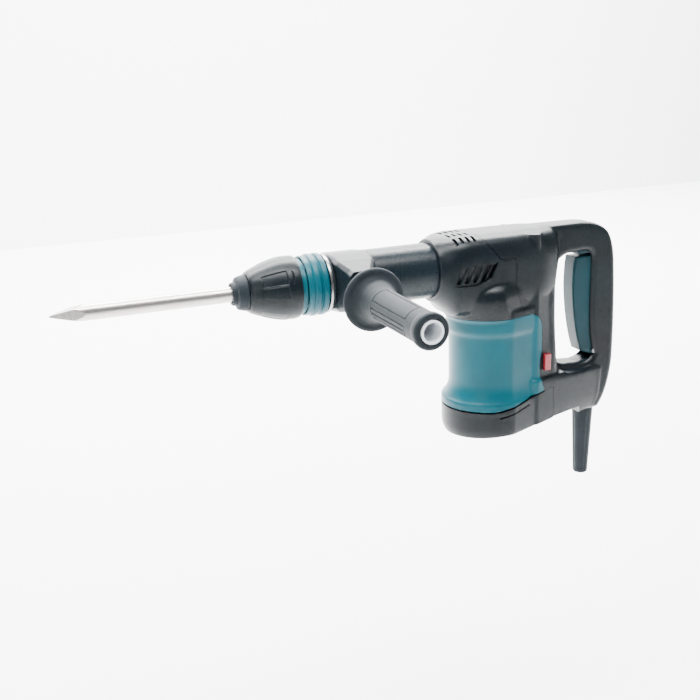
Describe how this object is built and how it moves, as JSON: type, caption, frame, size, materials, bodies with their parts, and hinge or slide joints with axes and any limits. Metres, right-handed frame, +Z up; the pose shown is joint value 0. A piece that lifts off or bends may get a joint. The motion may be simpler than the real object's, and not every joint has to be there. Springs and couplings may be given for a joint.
{
  "type": "demolition hammer",
  "caption": "Electric demolition hammer with a bull-point chisel, a turning tool holder, a side handle, an upright motor and a D-shaped rear handle.",
  "frame": {"origin": "on the flat underside of the base cover, straight below the motor shaft", "axes": "+X back along the barrel towards the D handle, -X towards the chisel's point, -Y towards the side handle, +Z up"},
  "size_m": [0.6747, 0.2814, 0.3348],
  "materials": {
    "black_nylon": "moulded, satin",
    "teal_nylon": "moulded, semi-gloss",
    "grip_rubber": "moulded, matt",
    "white_plastic": "moulded",
    "lamp_red": "clear moulded",
    "barrel_paint": "satin paint",
    "cast_alloy": "cast",
    "chisel_steel": "forged and ground",
    "bright_steel": "turned, bright",
    "tool_steel": "ground",
    "core_steel": "stacked plates",
    "copper": "drawn",
    "carbon": "pressed"
  },
  "bodies": {
    "housing": {"front_cover": "black_nylon", "motor_casing": "teal_nylon", "base_cover": "black_nylon", "rear_shell_left": "black_nylon", "rear_shell_right": "black_nylon", "barrel": "barrel_paint", "crank_case": "cast_alloy", "crank_case_lid": "cast_alloy", "cylinder": "tool_steel", "front_bearing": "tool_steel", "retaining_ring": "bright_steel", "dust_ring": "grip_rubber", "crank_bearing_upper": "tool_steel", "crank_bearing_lower": "tool_steel", "armature_bearing_upper": "tool_steel", "armature_bearing_lower": "tool_steel", "fan_baffle": "black_nylon", "field_core": "core_steel", "field_coil_left": "copper", "field_coil_right": "copper", "brush_holder_left": "copper", "brush_holder_right": "copper", "trigger_pin": "bright_steel", "switch_body": "black_nylon", "indicator_lamp": "lamp_red", "cord_guard": "grip_rubber", "base_screw_1": "bright_steel", "base_screw_2": "bright_steel", "base_screw_3": "bright_steel", "handle_screw_1": "bright_steel", "handle_screw_2": "bright_steel"},
    "holder": {"tool_holder": "tool_steel", "nose_cap": "grip_rubber", "sleeve_spring": "tool_steel", "ring_carrier": "teal_nylon"},
    "sleeve": {"release_sleeve": "black_nylon"},
    "ring": {"change_ring": "teal_nylon"},
    "chisel": {"chisel": "chisel_steel"},
    "roller_upper": {"locking_roller_upper": "tool_steel"},
    "roller_lower": {"locking_roller_lower": "tool_steel"},
    "impact_bolt": {"impact_bolt": "tool_steel"},
    "striker": {"striker": "tool_steel", "striker_ring": "grip_rubber"},
    "piston": {"piston": "cast_alloy", "piston_ring": "grip_rubber", "wrist_pin": "tool_steel"},
    "con_rod": {"connecting_rod": "tool_steel"},
    "crank": {"crankshaft": "tool_steel", "crank_gear": "tool_steel"},
    "armature": {"armature_shaft": "tool_steel", "armature_core": "core_steel", "commutator": "copper", "fan": "black_nylon"},
    "brush_left": {"carbon_brush_left": "carbon"},
    "brush_right": {"carbon_brush_right": "carbon"},
    "trigger": {"trigger_lever": "teal_nylon"},
    "lock": {"lock_slider": "teal_nylon"},
    "side_handle": {"side_grip": "grip_rubber", "grip_liner": "white_plastic", "side_bolt": "bright_steel"}
  },
  "joints": [
    {"name": "holder_turn", "type": "hinge", "parent": "housing", "child": "holder", "pos_m": [-0.25, 0, 0.2], "axis": [1, 0, 0], "continuous": true},
    {"name": "sleeve_slide", "type": "slide", "parent": "holder", "child": "sleeve", "axis": [1, 0, 0], "range_m": [0, 0.0064], "stiffness_N_per_m": 1500, "springref_m": -0.004},
    {"name": "ring_slide", "type": "slide", "parent": "holder", "child": "ring", "axis": [-1, 0, 0], "range_m": [0, 0.005], "stiffness_N_per_m": 1500, "springref_m": -0.004},
    {"name": "roller_upper_lift", "type": "slide", "parent": "holder", "child": "roller_upper", "axis": [0, 0, 1], "range_m": [0, 0.0032]},
    {"name": "roller_lower_lift", "type": "slide", "parent": "holder", "child": "roller_lower", "axis": [0, 0, -1], "range_m": [0, 0.0032]},
    {"name": "chisel_slide", "type": "slide", "parent": "holder", "child": "chisel", "axis": [-1, 0, 0], "range_m": [0, 0.01]},
    {"name": "impact_bolt_slide", "type": "slide", "parent": "housing", "child": "impact_bolt", "axis": [-1, 0, 0], "range_m": [0, 0.004]},
    {"name": "striker_slide", "type": "slide", "parent": "housing", "child": "striker", "axis": [1, 0, 0], "range_m": [0, 0.014]},
    {"name": "piston_slide", "type": "slide", "parent": "housing", "child": "piston", "axis": [1, 0, 0], "range_m": [0, 0.024]},
    {"name": "con_rod_swing", "type": "hinge", "parent": "piston", "child": "con_rod", "pos_m": [-0.102, 0, 0.2], "axis": [0, 0, 1], "range_deg": [-11, 11]},
    {"name": "armature_spin", "type": "hinge", "parent": "housing", "child": "armature", "pos_m": [0, 0, 0.08], "axis": [0, 0, 1], "continuous": true},
    {"name": "crank_spin", "type": "hinge", "parent": "housing", "child": "crank", "pos_m": [-0.028, 0, 0.16], "axis": [0, 0, 1], "continuous": true},
    {"name": "brush_left_slide", "type": "slide", "parent": "housing", "child": "brush_left", "axis": [0, -1, 0], "range_m": [0, 0.01], "stiffness_N_per_m": 200, "springref_m": -0.01},
    {"name": "brush_right_slide", "type": "slide", "parent": "housing", "child": "brush_right", "axis": [0, 1, 0], "range_m": [0, 0.01], "stiffness_N_per_m": 200, "springref_m": -0.01},
    {"name": "trigger_pull", "type": "hinge", "parent": "housing", "child": "trigger", "pos_m": [0.14, 0, 0.074], "axis": [0, 1, 0], "range_deg": [0, 4.5], "stiffness_Nm_per_rad": 6, "springref_deg": -6.88},
    {"name": "lock_slide", "type": "slide", "parent": "housing", "child": "lock", "axis": [-1, 0, 0], "range_m": [0, 0.005]},
    {"name": "side_handle_turn", "type": "hinge", "parent": "housing", "child": "side_handle", "pos_m": [-0.187, -0.1, 0.197], "axis": [0, 1, 0], "continuous": true}
  ],
  "couplings": [
    {"joint": "crank_spin", "follows": "armature_spin", "ratio": -0.25},
    {"joint": "roller_upper_lift", "follows": "sleeve_slide", "ratio": 0.5},
    {"joint": "roller_lower_lift", "follows": "sleeve_slide", "ratio": 0.5}
  ]
}
